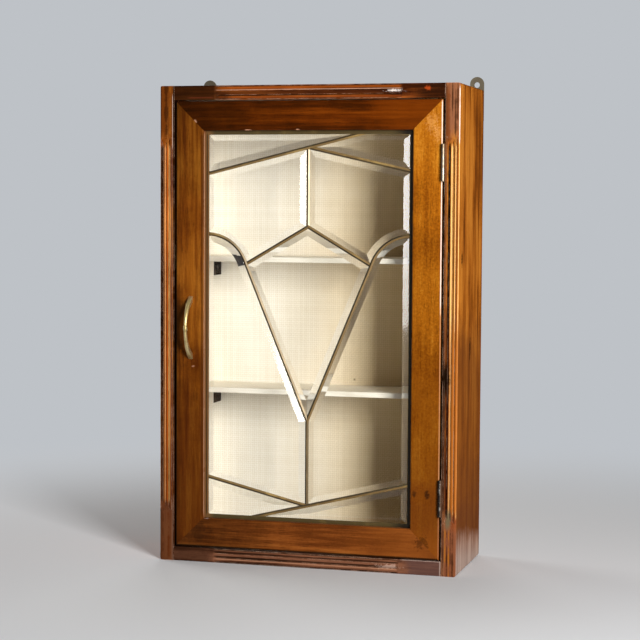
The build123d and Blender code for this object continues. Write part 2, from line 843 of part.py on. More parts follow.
# Butt hinges: three knuckles on the frame leaf, two on the door leaf, one pin through all
knuckle_pitch = hinge_length / knuckle_count
for name, z in hinge_heights.items():
    hinge_bottom = z - hinge_length / 2
    for owner, first, sign, leaf_x, planes in (
        ("frame", 0, 1, frame_leaf_face_x, frame_hinge_screws),
        ("door", 1, -1, door_leaf_face_x, door_hinge_screws),
    ):
        far_x = leaf_x + sign * leaf_thickness
        low_x, high_x = sorted((leaf_x, far_x))
        with BuildPart() as leaf:
            block((low_x, front_y, hinge_bottom), (high_x, front_y + leaf_width, hinge_bottom + hinge_length))
            for i in range(first, knuckle_count, 2):
                low_z = hinge_bottom + i * knuckle_pitch + knuckle_gap / 2
                high_z = low_z + knuckle_pitch - knuckle_gap
                block((low_x, hinge_y, low_z), (high_x, front_y, high_z))
                with BuildSketch(Plane.XY.offset(low_z)):
                    with Locations((hinge_x, hinge_y)):
                        Circle(knuckle_radius)
                extrude(amount=knuckle_pitch - knuckle_gap)
            with Locations((hinge_x, hinge_y, z)):
                Cylinder(pin_radius + pin_play, 2 * hinge_length, mode=Mode.SUBTRACT)
            screw_holes(planes, small_screw)
        save(leaf, f"hinge_leaf_{owner}_{name}")

    with BuildPart() as hinge_pin:
        with BuildSketch(Plane.XY.offset(hinge_bottom)):
            with Locations((hinge_x, hinge_y)):
                Circle(pin_radius)
        extrude(amount=hinge_length)
        for level, grow in ((hinge_bottom, -1), (hinge_bottom + hinge_length, 1)):
            with BuildSketch(Plane.XY.offset(level)):
                with Locations((hinge_x, hinge_y)):
                    Circle(knuckle_radius)
            extrude(amount=grow * pin_head_height)
        end_faces = hinge_pin.faces().filter_by(Plane.XY).sort_by(Axis.Z)
        fillet([end_faces[0].edge(), end_faces[-1].edge()], pin_head_height / 2)
    save(hinge_pin, f"hinge_pin_{name}")

with BuildPart() as hinge_screws_door:
    screws(door_hinge_screws, **small_screw)
save(hinge_screws_door, "hinge_screws_door")

# The frame leaves and the strike are held by the same small screws
with BuildPart() as frame_screws:
    screws(frame_hinge_screws + strike_screws, **small_screw)
save(frame_screws, "frame_screws")

# Bow handle, ridged along its front, with a bead at its waist
with BuildPart() as handle:
    reach = handle_length / 2
    foot_reach = reach - handle_foot_height
    peak_y = front_y - handle_projection
    hollow_y = peak_y + handle_thickness
    with BuildSketch(Plane.YZ.offset(handle_x - handle_foot_width)):
        with BuildLine():
            ThreePointArc(
                (front_y, handle_height - reach),
                (peak_y, handle_height),
                (front_y, handle_height + reach),
            )
            Line((front_y, handle_height + reach), (front_y, handle_height + foot_reach))
            ThreePointArc(
                (front_y, handle_height + foot_reach),
                (hollow_y, handle_height),
                (front_y, handle_height - foot_reach),
            )
            Line((front_y, handle_height - foot_reach), (front_y, handle_height - reach))
        make_face()
    extrude(amount=2 * handle_foot_width)
    with BuildSketch(upright_at(front_y + cut_over)):
        with BuildLine():
            for side in (-1, 1):
                ThreePointArc(
                    (handle_x + side * handle_foot_width / 2, handle_height - reach),
                    (handle_x + side * handle_waist_width / 2, handle_height),
                    (handle_x + side * handle_foot_width / 2, handle_height + reach),
                )
            for end in (-1, 1):
                Line(
                    (handle_x - handle_foot_width / 2, handle_height + end * reach),
                    (handle_x + handle_foot_width / 2, handle_height + end * reach),
                )
        make_face()
    extrude(amount=handle_projection + 2 * cut_over, mode=Mode.INTERSECT)
    outer_face = handle.faces().sort_by(Axis.Y)[0]
    ridge_edges = [edge for edge in outer_face.edges() if edge.length > handle_length / 2]
    chamfer(ridge_edges, handle_facet_width, handle_facet_depth, reference=outer_face)
    with BuildSketch(Plane.YZ.offset(handle_x)):
        with BuildLine():
            bead_y = peak_y + handle_thickness / 2
            low = (bead_y, handle_height - handle_bead_height / 2)
            high = (bead_y, handle_height + handle_bead_height / 2)
            ThreePointArc(low, (bead_y - handle_bead_radius, handle_height), high)
            Line(high, low)
        make_face()
    revolve(axis=Axis((handle_x, bead_y, 0), (0, 0, 1)))
    handle_fixings(fastener_play, Mode.SUBTRACT)
save(handle, "handle")

with BuildPart() as handle_screws:
    handle_fixings()
save(handle_screws, "handle_screws")

# Ball catch in the free edge of the door: a barrel, a spring and a ball that its mouth holds in
ball_centre_depth = ball_radius - ball_proud
mouth_radius = ball_radius - catch_lip_grip
with BuildPart() as catch_barrel:
    top = (Align.CENTER, Align.CENTER, Align.MAX)
    with Locations(catch_mouth):
        Cylinder(catch_barrel_radius, catch_barrel_length, align=top)
        Cylinder(mouth_radius, catch_lip, align=top, mode=Mode.SUBTRACT)
    with Locations(catch_mouth.offset(-catch_lip)):
        bore_depth = catch_barrel_length - catch_lip - catch_floor
        Cylinder(catch_bore_radius, bore_depth, align=top, mode=Mode.SUBTRACT)
save(catch_barrel, "catch_barrel")

with BuildPart() as catch_ball:
    with Locations(catch_mouth.offset(-ball_centre_depth)):
        Sphere(ball_radius)
save(catch_ball, "catch_ball")

spring_end_room = spring_wire_radius + spring_end_gap
spring_top = ball_centre_depth + ball_radius + ball_travel
spring_length = catch_barrel_length - catch_floor - spring_top - 2 * spring_end_room
with BuildPart() as catch_spring:
    spring_base = catch_mouth.offset(catch_floor + spring_end_room - catch_barrel_length)
    with BuildLine() as coil:
        Helix(spring_pitch, spring_length, spring_radius, spring_base.origin, spring_base.z_dir)
    with BuildSketch(Plane(coil.line @ 0, z_dir=coil.line % 0)):
        Circle(spring_wire_radius)
    sweep(is_frenet=True)
save(catch_spring, "catch_spring")

with BuildPart() as catch_strike:
    block(strike_low, strike_high)
    with Locations(strike_middle):
        Hole(strike_hole_radius)
    screw_holes(strike_screws, small_screw)
save(catch_strike, "catch_strike")

# Hanging plates on the back of the side boards, with their holes above the top
for name, x in plate_x.items():
    with BuildPart() as hanging_plate:
        plate_top = cabinet_height + plate_rise
        crown_z = plate_top - plate_width / 2
        with BuildSketch(upright_at(plate_rear_y)):
            with Locations((x, (plate_bottom + crown_z) / 2)):
                Rectangle(plate_width, crown_z - plate_bottom)
            with Locations((x, crown_z)):
                Circle(plate_width / 2)
            with Locations((x, plate_top - plate_hole_drop)):
                Circle(plate_hole_radius, mode=Mode.SUBTRACT)
        extrude(amount=plate_thickness)
        screw_holes(plate_screws, plate_screw)
    save(hanging_plate, f"hanging_plate_{name}")

with BuildPart() as hanging_plate_screws:
    screws(plate_screws, **plate_screw)
save(hanging_plate_screws, "hanging_plate_screws")
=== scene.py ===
import math

import bmesh
import bpy
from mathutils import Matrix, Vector

# Looks of the glazed wall cabinet: the finish of every CAD node, a floor, light and camera.
# Places are in metres in the CAD frame: +X right, +Y towards the wall, +Z up.
# Masks take their places and sizes in millimetres.

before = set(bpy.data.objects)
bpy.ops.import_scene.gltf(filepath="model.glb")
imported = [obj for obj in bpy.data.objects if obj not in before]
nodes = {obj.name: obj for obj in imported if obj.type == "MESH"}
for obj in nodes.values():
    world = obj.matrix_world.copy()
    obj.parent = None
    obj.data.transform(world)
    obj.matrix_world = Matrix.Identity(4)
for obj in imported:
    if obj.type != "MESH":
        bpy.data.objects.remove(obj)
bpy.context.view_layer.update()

X, Y, Z = 0, 1, 2
MM = 0.001

# Numbers of a mix node's colour sockets, which share their names with its other sockets
MIX_FIRST = 6
MIX_SECOND = 7
MIX_RESULT = 2


def linear_light(level):
    """One screen level, from 0 to 255, as linear light from 0 to 1."""
    share = level / 255
    return share / 12.92 if share <= 0.04045 else ((share + 0.055) / 1.055) ** 2.4


def paint(red, green, blue):
    """A colour written as 0 to 255 on the screen, as linear light with full alpha."""
    return (linear_light(red), linear_light(green), linear_light(blue), 1.0)


def drawn_out(axis, share):
    """A scale that draws a noise out along one axis, to a share of its waves there."""
    return [share if other == axis else 1.0 for other in (X, Y, Z)]


class Graph:
    """The nodes of a material or a world, with short ways to add the ones that the finishes use."""

    def __init__(self, owner, output="ShaderNodeOutputMaterial"):
        owner.use_nodes = True
        self.owner = owner
        self.tree = owner.node_tree
        self.tree.nodes.clear()
        self.output = self.tree.nodes.new(output)
        self.place = self.node("ShaderNodeTexCoord").outputs["Object"]

    def node(self, kind, settings=None, **inputs):
        """A new node with its settings and its inputs, whose names take _ for a space."""
        made = self.tree.nodes.new(kind)
        for key, value in (settings or {}).items():
            setattr(made, key, value)
        for key, value in inputs.items():
            self.feed(made.inputs[key.replace("_", " ")], value)
        return made

    def feed(self, socket, value):
        """Link a socket to another one, or set it to a plain value."""
        if isinstance(value, bpy.types.NodeSocket):
            self.tree.links.new(value, socket)
        else:
            socket.default_value = value

    def math(self, operation, first, second=0.0, third=0.0):
        """The result of an operation on up to three values."""
        made = self.node("ShaderNodeMath", {"operation": operation})
        for socket, value in zip(made.inputs, (first, second, third)):
            self.feed(socket, value)
        return made.outputs[0]

    def vector(self, operation, first, second=(0.0, 0.0, 0.0)):
        """The result of an operation on one or two vectors."""
        made = self.node("ShaderNodeVectorMath", {"operation": operation})
        self.feed(made.inputs[0], first)
        self.feed(made.inputs[1], second)
        return made.outputs["Value" if operation in ("LENGTH", "DOT_PRODUCT") else "Vector"]

    def axis(self, vector, axis):
        """One coordinate of a vector."""
        return self.node("ShaderNodeSeparateXYZ", Vector=vector).outputs[axis]

    def noise(self, vector, scale, detail=3.0, roughness=0.5):
        """A smooth noise around one half, with scale waves to the metre."""
        inputs = dict(Vector=vector, Scale=scale, Detail=detail, Roughness=roughness)
        return self.node("ShaderNodeTexNoise", **inputs).outputs["Fac"]

    def spread(self, value, low, high, to_low=0.0, to_high=1.0):
        """A value between low and high, carried smoothly to another range and held at its ends."""
        made = self.node("ShaderNodeMapRange", {"interpolation_type": "SMOOTHSTEP"})
        for socket, number in zip(made.inputs, (value, low, high, to_low, to_high)):
            self.feed(socket, number)
        return made.outputs[0]

    def ramp(self, value, stops):
        """A colour from a list of (place, colour) stops."""
        made = self.node("ShaderNodeValToRGB", Fac=value)
        elements = made.color_ramp.elements
        while len(elements) < len(stops):
            elements.new(1.0)
        for element, (place, colour) in zip(elements, stops):
            element.position = place
            element.color = colour
        return made.outputs["Color"]

    def mix(self, share, first, second, blend="MIX"):
        """The second colour over the first, by a share."""
        made = self.node("ShaderNodeMix", {"data_type": "RGBA", "blend_type": blend})
        self.feed(made.inputs["Factor"], share)
        self.feed(made.inputs[MIX_FIRST], first)
        self.feed(made.inputs[MIX_SECOND], second)
        return made.outputs[MIX_RESULT]

    def patched(self, colour, patches, blend="MIX"):
        """A colour with patches over it, each a (mask, colour, share)."""
        for mask, patch_colour, share in patches:
            colour = self.mix(self.math("MULTIPLY", mask(self), share), colour, patch_colour, blend)
        return colour

    def bump(self, height, distance, strength):
        """A normal raised by a height."""
        made = self.node("ShaderNodeBump", Height=height, Distance=distance, Strength=strength)
        return made.outputs["Normal"]

    def weigh(self, *parts):
        """Noises added around a middle of one half, each with its weight."""
        total = 0.5
        for noise, weight in parts:
            total = self.math("ADD", self.math("MULTIPLY_ADD", noise, weight, -0.5 * weight), total)
        return total

    def ragged(self, amount, grain):
        """A noise around zero that breaks up the edge of a mask."""
        noise = self.noise(self.place, grain, 4.0, 0.65)
        return self.math("MULTIPLY_ADD", noise, 4 * amount, -2 * amount)

    def edges(self, radius):
        """A mask of the edges: how far a rounded normal turns from the true one."""
        rounded = self.node("ShaderNodeBevel", {"samples": 6}, Radius=radius).outputs["Normal"]
        true = self.node("ShaderNodeNewGeometry").outputs["Normal"]
        return self.math("SUBTRACT", 1.0, self.vector("DOT_PRODUCT", rounded, true))

    def facing(self, axis):
        """How far a face turns along one of the piece's own axes, from -1 to 1."""
        true = self.node("ShaderNodeNewGeometry").outputs["True Normal"]
        settings = {"vector_type": "NORMAL", "convert_from": "WORLD", "convert_to": "OBJECT"}
        own = self.node("ShaderNodeVectorTransform", settings, Vector=true).outputs["Vector"]
        return self.axis(own, axis)

    def hollows(self, distance):
        """A mask of the grooves and inner corners of one piece."""
        settings = {"samples": 8, "only_local": True}
        open_share = self.node("ShaderNodeAmbientOcclusion", settings, Distance=distance).outputs["AO"]
        return self.spread(open_share, 0.9, 0.45)

    def finish(self, **inputs):
        """A Principled surface with these inputs, as the material's result."""
        surface = self.node("ShaderNodeBsdfPrincipled", **inputs)
        self.feed(self.output.inputs["Surface"], surface.outputs["BSDF"])
        return self.owner

    def blend(self, share, first, second):
        """A second shader over a first one, by a share, as the result."""
        both = self.node("ShaderNodeMixShader", Fac=share)
        self.feed(both.inputs[1], first.outputs[0])
        self.feed(both.inputs[2], second.outputs[0])
        self.feed(self.output.inputs["Surface"], both.outputs[0])
        return self.owner


# Reach of a spot's soft edge, as shares of its radius
SPOT_OUTER = 1.1
SPOT_INNER = 0.3

# Waves to the metre of the noises that break up areas, lines and streaks
AREA_GRAIN = 30.0
LINE_GRAIN = 60.0
STREAK_GRAIN = 110.0

# Share of a streak's waves that is left along it
STREAK_SHARE = 0.06

# Shares of a line's width: its soft edge, and how far that strays
LINE_OUTER = 0.75
LINE_INNER = 0.25
LINE_STRAY = 0.12

# Length in millimetres over which a line fades at each end
LINE_END = 8.0


def spot(centre, radii, amount=0.5, grain=260.0):
    """A mask of a ragged oval patch. Sizes in millimetres."""
    def mask(g):
        offset = g.vector("SUBTRACT", g.place, Vector(centre) * MM)
        offset = g.vector("DIVIDE", offset, Vector(radii) * MM)
        reach = g.math("ADD", g.vector("LENGTH", offset), g.ragged(amount, grain))
        return g.spread(reach, SPOT_OUTER, SPOT_INNER)
    return mask


def past(axis, start, full, amount=0.0, drop=0.0):
    """A mask that grows along an axis from nothing at start to full. Places in millimetres.

    Drop slants its line: how far it falls for each millimetre towards the wall.
    """
    def mask(g):
        there = g.math("ADD", g.axis(g.place, axis), g.ragged(amount * MM, AREA_GRAIN))
        if drop:
            there = g.math("MULTIPLY_ADD", g.axis(g.place, Y), drop, there)
        return g.spread(there, start * MM, full * MM)
    return mask


def turned(axis, start, full):
    """A mask of the faces that turn along an axis, from nothing at start to full."""
    def mask(g):
        return g.spread(g.facing(axis), start, full)
    return mask


def streaked(axis):
    """A mask broken into long streaks along an axis."""
    def mask(g):
        along = g.vector("MULTIPLY", g.place, drawn_out(axis, STREAK_SHARE))
        return g.spread(g.noise(along, STREAK_GRAIN), 0.36, 0.6, 0.3, 1.0)
    return mask


def meet(*masks):
    """A mask of where all of these masks meet."""
    def mask(g):
        share = masks[0](g)
        for other in masks[1:]:
            share = g.math("MULTIPLY", share, other(g))
        return share
    return mask


def kept_to(region, patches):
    """The same patches, only where a region reaches."""
    return tuple((meet(region, mask), colour, share) for mask, colour, share in patches)


def stripe(axis, middle, width, along, low, high):
    """A mask of a soft line at a place on one axis, between low and high on another. In millimetres."""
    def mask(g):
        away = g.math("ABSOLUTE", g.math("SUBTRACT", g.axis(g.place, axis), middle * MM))
        away = g.math("ADD", away, g.ragged(LINE_STRAY * width * MM, LINE_GRAIN))
        line = g.spread(away, LINE_OUTER * width * MM, LINE_INNER * width * MM)
        centre = (low + high) / 2 * MM
        beyond = g.math("ABSOLUTE", g.math("SUBTRACT", g.axis(g.place, along), centre))
        reach = (high - low) / 2
        return g.math("MULTIPLY", line, g.spread(beyond, reach * MM, (reach - LINE_END) * MM))
    return mask


def dress(material, *names):
    """Give a material to CAD nodes."""
    for name in names:
        slots = nodes[name].data.materials
        slots.clear()
        slots.append(material)


# Varnished wood
WORN_EDGE = paint(222, 178, 150)
# The next colour darkens the pores and grime, and paints shade into grooves, gaps and hollows
GRIME_AND_SHADE = paint(14, 7, 3)
VARNISH = paint(255, 200, 120)

# Figure of the wood: waves to the metre, their share along the grain, and where the tones stand
CLOUD_WAVES = 11.0
WIDE_WAVES = 45.0
NARROW_WAVES = 230.0
SPECK_WAVES = 330.0
PORE_WAVES = 1100.0
WEAR_WAVES = 60.0
GRAIN_SHARE = 0.05
TONE_STOPS = (0.26, 0.5, 0.76)

# From one board's place in the log to the next, in metres
BOARD_STEP = (0.37, 0.71, 0.53)

# How far painted shade reaches from the hollows and wear from the edges, and the depth of the pores
HOLLOW_SHADE_REACH = 6 * MM
WEAR_REACH = 1.5 * MM
PORE_DEPTH = 0.15 * MM


def wood(
    name, board, grain, tones, patches=(), figure=1.0, speckle=0.2, wear=0.6, gloss=0.12, hollow_shade=0.85
):
    """Stained and varnished wood with its grain along one axis. Tones run from dark to light.

    Each board number cuts its figure from another place in the log. Patches are (mask, colour, share).
    Figure, speckle, wear and gloss say how strongly each of these shows, and the last argument how dark
    shade is painted into the grooves and inner corners.
    """
    g = Graph(bpy.data.materials.new(name))
    shifted = g.vector("ADD", g.place, [step * board for step in BOARD_STEP])
    along = g.vector("MULTIPLY", shifted, drawn_out(grain, GRAIN_SHARE))
    cloud = g.noise(shifted, CLOUD_WAVES, 2.0)
    wide = g.noise(along, WIDE_WAVES, 3.0, 0.55)
    narrow = g.noise(along, NARROW_WAVES, 4.0, 0.65)
    specks = g.noise(shifted, SPECK_WAVES, 3.0, 0.7)
    pores = g.noise(along, PORE_WAVES, 2.0, 0.6)
    tone = g.weigh((cloud, 0.7), (wide, 1.1 * figure), (narrow, 0.9 * figure), (specks, speckle))
    colour = g.ramp(tone, list(zip(TONE_STOPS, tones)))
    colour = g.mix(g.spread(pores, 0.43, 0.30, 0.0, 0.5), colour, GRIME_AND_SHADE)
    colour = g.patched(colour, patches)
    # Painted shade, darkest in the grooves and inner corners that ambient occlusion finds
    colour = g.mix(g.math("MULTIPLY", g.hollows(HOLLOW_SHADE_REACH), hollow_shade), colour, GRIME_AND_SHADE)
    broken = g.spread(g.noise(shifted, WEAR_WAVES, 4.0, 0.7), 0.38, 0.60)
    rubbed = g.spread(g.edges(WEAR_REACH), 0.02, 0.2, 0.0, wear)
    colour = g.mix(g.math("MULTIPLY", rubbed, broken), colour, WORN_EDGE)
    height = g.weigh((narrow, 0.5), (pores, 1.0), (specks, speckle))
    return g.finish(
        Base_Color=colour,
        Roughness=g.spread(cloud, 0.3, 0.7, 0.24, 0.42),
        Specular_IOR_Level=gloss,
        Specular_Tint=VARNISH,
        Normal=g.bump(height, PORE_DEPTH, 0.5),
    )


# Tones of the boards, dark to light
STILE_LEFT = (paint(86, 38, 7), paint(121, 64, 14), paint(156, 94, 27))
STILE_RIGHT = (paint(122, 62, 7), paint(164, 94, 16), paint(200, 132, 38))
RAIL_TOP = (paint(54, 19, 1), paint(89, 36, 3), paint(116, 54, 7))
RAIL_BOTTOM = (paint(92, 44, 14), paint(128, 68, 25), paint(156, 93, 39))
SIDE_LEFT = (paint(92, 40, 8), paint(158, 84, 26), paint(208, 130, 58))
SIDE_RIGHT = (paint(84, 40, 13), paint(162, 91, 27), paint(196, 124, 46))
BOARD_TOP = (paint(52, 20, 6), paint(108, 52, 18), paint(158, 84, 32))
BOARD_BOTTOM = (paint(42, 22, 14), paint(80, 46, 30), paint(122, 78, 56))

# Patches of the boards: faded, stained and worn places, places made darker, and painted shade and
# highlights
SHADE = paint(0, 0, 0)
DARK_WOOD_AND_SHADE = paint(34, 15, 6)
RED_WOOD = paint(84, 34, 8)
AMBER_WOOD = paint(164, 96, 24)
WHITE_WEAR_AND_HIGHLIGHT = paint(236, 222, 212)
CREAM_WEAR_AND_HIGHLIGHT = paint(254, 194, 116)
PINK_WEAR_AND_HIGHLIGHT = paint(226, 168, 132)
PINK_EDGE_WEAR_AND_HIGHLIGHT = paint(182, 146, 124)
OLIVE_FADE = paint(104, 92, 68)
LOW_REED = paint(178, 102, 36)

# Runs of the lines on the reeded mouldings and around the door's opening, painted highlight and shade
# among them
SIDE_REEDS = dict(along=Z, low=84.0, high=616.0)
END_REEDS = dict(along=X, low=-142.0, high=142.0)
DOOR_OPENING = dict(along=Z, low=66, high=634)

# Regions that patches are kept to: the front, its parts short of the outer edges, and the right face
FRONT = past(Y, -68, -76)
LEFT_FRONT = meet(FRONT, past(X, -223.98, -223.6))
RIGHT_FRONT = meet(FRONT, past(X, 223.9, 222.9))
RIGHT_FACE = turned(X, 0.6, 0.9)

# Slant of the painted reflection of a pale floor on the foot of the right face
FOOT_REFLECTION_DROP = 0.164

stile_left_patches = (
    (past(Z, 500, 590, 40), SHADE, 0.27),
    (past(Z, 440, 110, 50), SHADE, 0.48),
    (past(Z, 330, 150, 60), RED_WOOD, 0.4),
    (spot((-176, -88, 420), (8, 6, 120), 0.4, 40.0), AMBER_WOOD, 0.3),
    # Painted shadow of the handle, darker along the left edge, and painted shade by the gap at the outer
    # edge
    (spot((-194, -88, 348), (17, 6, 64), 0.3, 60.0), DARK_WOOD_AND_SHADE, 0.7),
    (past(X, -186, -198, 4), SHADE, 0.35),
    (past(X, -196.4, -198.2), GRIME_AND_SHADE, 0.9),
    (past(Z, 636, 676, 10), SHADE, 0.35),
    # By the opening: a darker band, then the inner face and the arris painted paler as a highlight
    (stripe(X, -158.2, 3.0, **DOOR_OPENING), paint(66, 30, 10), 0.75),
    (past(X, -156.3, -156.1), paint(132, 84, 48), 0.7),
    (meet(past(X, -157.4, -156.6), stripe(Y, -84.4, 1.5, **DOOR_OPENING)), paint(214, 172, 140), 0.85),
    (spot((-172, -88, 290), (3, 4, 1.6)), PINK_WEAR_AND_HIGHLIGHT, 0.35),
)
stile_right_patches = (
    (past(Z, 560, 450, 60), SHADE, 0.16),
    (past(Z, 420, 180, 60), SHADE, 0.34),
    (past(Z, 420, 200, 50), paint(112, 52, 5), 0.3),
    (past(Z, 190, 90, 20), paint(94, 45, 13), 0.6),
    (past(Z, 76, 34, 8), paint(136, 72, 21), 0.55),
    (spot((184, -88, 644), (9, 6, 14), 1.3, 420.0), CREAM_WEAR_AND_HIGHLIGHT, 0.18),
    (spot((192, -88, 628), (6, 6, 12), 1.3, 420.0), CREAM_WEAR_AND_HIGHLIGHT, 0.16),
    # Painted shade on the outer edge face, by the gap
    (past(X, 198.7, 198.95), DARK_WOOD_AND_SHADE, 0.9),
    (spot((181, -88, 116), (5, 4, 7)), DARK_WOOD_AND_SHADE, 0.8),
    (spot((162, -88, 116), (4, 4, 5)), DARK_WOOD_AND_SHADE, 0.7),
    (spot((176, -88, 46), (8, 4, 12), 0.9), DARK_WOOD_AND_SHADE, 0.55),
    # The pale line on the right arris: painted highlight and wear
    (stripe(X, 197.9, 1.1, along=Z, low=22, high=150), paint(164, 108, 74), 0.6),
    (stripe(X, 197.9, 1.1, along=Z, low=120, high=400), paint(196, 142, 102), 0.6),
    (stripe(X, 197.9, 1.3, along=Z, low=370, high=678), paint(232, 184, 146), 0.85),
    (stripe(X, 197.9, 1.1, along=Z, low=380, high=678), WHITE_WEAR_AND_HIGHLIGHT, 0.7),
)
rail_top_patches = (
    (past(X, 20, -160, 50), SHADE, 0.68),
    (past(X, 50, 180, 50), paint(100, 42, 3), 0.6),
    (spot((-169, -88, 647), (3, 3, 4)), PINK_WEAR_AND_HIGHLIGHT, 0.5),
    (spot((-88, -86, 635.4), (7, 6, 1.0), 0.8), PINK_WEAR_AND_HIGHLIGHT, 0.7),
    (spot((-14, -86, 635.6), (3, 6, 1.2), 0.6), PINK_WEAR_AND_HIGHLIGHT, 0.6),
)
rail_bottom_patches = (
    (past(X, -10, -150, 40), SHADE, 0.52),
    (past(X, 30, 150, 40), paint(132, 70, 23), 0.45),
    # Painted shade along the lower edge, by the gap under the door
    (past(Z, 26.2, 24.2), GRIME_AND_SHADE, 0.85),
    (spot((-150, -88, 67), (6, 5, 2.5)), WHITE_WEAR_AND_HIGHLIGHT, 0.7),
    (spot((-168, -88, 44), (24, 5, 16), 0.8, 60.0), DARK_WOOD_AND_SHADE, 0.5),
    (spot((171, -88, 46), (9, 4, 10), 0.9), DARK_WOOD_AND_SHADE, 0.5),
)
side_left_patches = kept_to(LEFT_FRONT, (
    (past(Z, 605, 640, 12), paint(98, 46, 9), 0.9),
    (past(Z, 110, 70, 16), paint(92, 56, 38), 0.9),
    # The reeds: painted shade in the outer groove and on the flanks, painted highlights on the crests,
    # painted shade on the inner face by the gap, and a pale line on the inner arris, painted highlight and
    # wear
    (stripe(X, -222.4, 2.4, **SIDE_REEDS), GRIME_AND_SHADE, 0.9),
    (stripe(X, -219.6, 2.2, **SIDE_REEDS), paint(176, 124, 82), 0.85),
    (stripe(X, -216.4, 1.8, **SIDE_REEDS), paint(232, 162, 96), 0.85),
    (stripe(X, -213.4, 2.6, **SIDE_REEDS), paint(196, 92, 28), 0.75),
    (stripe(X, -209.8, 2.8, **SIDE_REEDS), paint(255, 196, 116), 0.95),
    (stripe(X, -205.6, 2.6, **SIDE_REEDS), paint(88, 54, 48), 0.85),
    (past(X, -204.2, -203.4), GRIME_AND_SHADE, 0.9),
    (stripe(X, -204.4, 0.8, along=Z, low=606, high=690), WHITE_WEAR_AND_HIGHLIGHT, 0.5),
    (stripe(X, -204.4, 0.8, along=Z, low=-4, high=90), PINK_EDGE_WEAR_AND_HIGHLIGHT, 0.6),
    (spot((-214, -88, 664), (3, 5, 70), 1.0, 50.0), DARK_WOOD_AND_SHADE, 0.6),
    (spot((-208, -88, 650), (2, 5, 60), 1.0, 50.0), AMBER_WOOD, 0.4),
    (spot((-219, -88, 40), (2, 5, 50), 1.0, 50.0), DARK_WOOD_AND_SHADE, 0.6),
    (spot((-210, -88, 30), (3, 5, 40), 1.0, 50.0), RED_WOOD, 0.8),
    (past(Z, 270, 130, 20), paint(84, 40, 14), 0.4),
))

# Grain in the plain ends of the right board: place across, place up, half width, half length and colour
END_STREAKS = (
    (206.6, 650, 3.0, 60, paint(104, 50, 14)),
    (212.4, 676, 1.2, 30, DARK_WOOD_AND_SHADE),
    (217.0, 646, 1.8, 40, DARK_WOOD_AND_SHADE),
    (220.0, 668, 1.2, 36, DARK_WOOD_AND_SHADE),
    (205.0, 30, 1.2, 60, DARK_WOOD_AND_SHADE),
    (207.8, 44, 1.6, 40, AMBER_WOOD),
    (210.4, 20, 1.6, 50, DARK_WOOD_AND_SHADE),
    (213.2, 30, 1.6, 56, AMBER_WOOD),
    (215.6, 36, 1.2, 46, DARK_WOOD_AND_SHADE),
    (218.6, 24, 2.2, 54, DARK_WOOD_AND_SHADE),
)


def end_streak(across, up, half_width, half_length):
    """A mask of a ragged streak on the front of the right board."""
    return spot((across, -86, up), (half_width, 14, half_length), amount=0.7, grain=36.0)


side_right_patches = (
    (RIGHT_FACE, paint(190, 106, 28), 0.15),
    (past(Z, 390, 300, 40), paint(112, 62, 27), 0.65),
    (meet(past(Z, 190, 60, 40), RIGHT_FACE), paint(100, 56, 32), 0.7),
    # A painted reflection of a pale floor at the foot of the right face, its edge slanting down towards
    # the wall
    (meet(past(Z, 60, 32, 7, FOOT_REFLECTION_DROP), RIGHT_FACE, streaked(Z)), paint(186, 154, 136), 0.78),
    (meet(past(Z, 42, 6, 4, FOOT_REFLECTION_DROP), RIGHT_FACE), paint(190, 178, 170), 0.35),
    (spot((224, -66, 452), (4, 6, 12)), DARK_WOOD_AND_SHADE, 0.9),
    (spot((224, 0, 320), (4, 7, 22)), DARK_WOOD_AND_SHADE, 0.8),
) + kept_to(FRONT, (
    (meet(past(Z, 610, 640, 12), RIGHT_FRONT), paint(134, 86, 60), 0.85),
    (meet(past(Z, 90, 66, 16), RIGHT_FRONT), paint(152, 98, 66), 0.8),
    # The reeds: painted shade in the cove, in the grooves and on the inner face by the gap, painted
    # highlights on the crests, and a pale line on the outer arris, painted highlight and wear
    (stripe(X, 204.6, 2.6, along=Z, low=20, high=700), paint(92, 52, 28), 0.85),
    (stripe(X, 204.6, 2.6, along=Z, low=90, high=300), paint(46, 27, 18), 0.85),
    (past(X, 203.6, 202.8), GRIME_AND_SHADE, 0.95),
    (stripe(X, 208.3, 3.6, **SIDE_REEDS), GRIME_AND_SHADE, 0.95),
    (stripe(X, 212.6, 3.6, **SIDE_REEDS), CREAM_WEAR_AND_HIGHLIGHT, 0.9),
    (stripe(X, 215.8, 1.8, **SIDE_REEDS), DARK_WOOD_AND_SHADE, 0.8),
    (stripe(X, 218.2, 2.0, **SIDE_REEDS), CREAM_WEAR_AND_HIGHLIGHT, 0.9),
    (stripe(X, 220.8, 2.0, **SIDE_REEDS), paint(150, 78, 28), 0.75),
    (stripe(X, 222.8, 1.1, along=Z, low=80, high=695), CREAM_WEAR_AND_HIGHLIGHT, 0.75),
    (stripe(X, 222.8, 1.1, along=Z, low=612, high=698), WHITE_WEAR_AND_HIGHLIGHT, 0.75),
    (meet(past(Z, 370, 320, 20), past(X, 206, 208), RIGHT_FRONT), SHADE, 0.3),
    (meet(past(Z, 370, 320, 20), past(X, 206, 208), RIGHT_FRONT), paint(150, 60, 20), 0.3),
    (meet(past(Z, 370, 320, 20), past(Z, 84, 100), past(X, 213.2, 214.4), RIGHT_FRONT), LOW_REED, 0.75),
    (meet(past(Z, 80, 60, 10), RIGHT_FRONT), paint(104, 66, 46), 0.45),
    *((end_streak(*place), tone, 0.75) for *place, tone in END_STREAKS),
    (spot((206.5, -86, 283), (8, 9, 32), 0.3), GRIME_AND_SHADE, 0.97),
    (spot((211.5, -86, 82), (6, 14, 19), 0.15), OLIVE_FADE, 0.92),
))
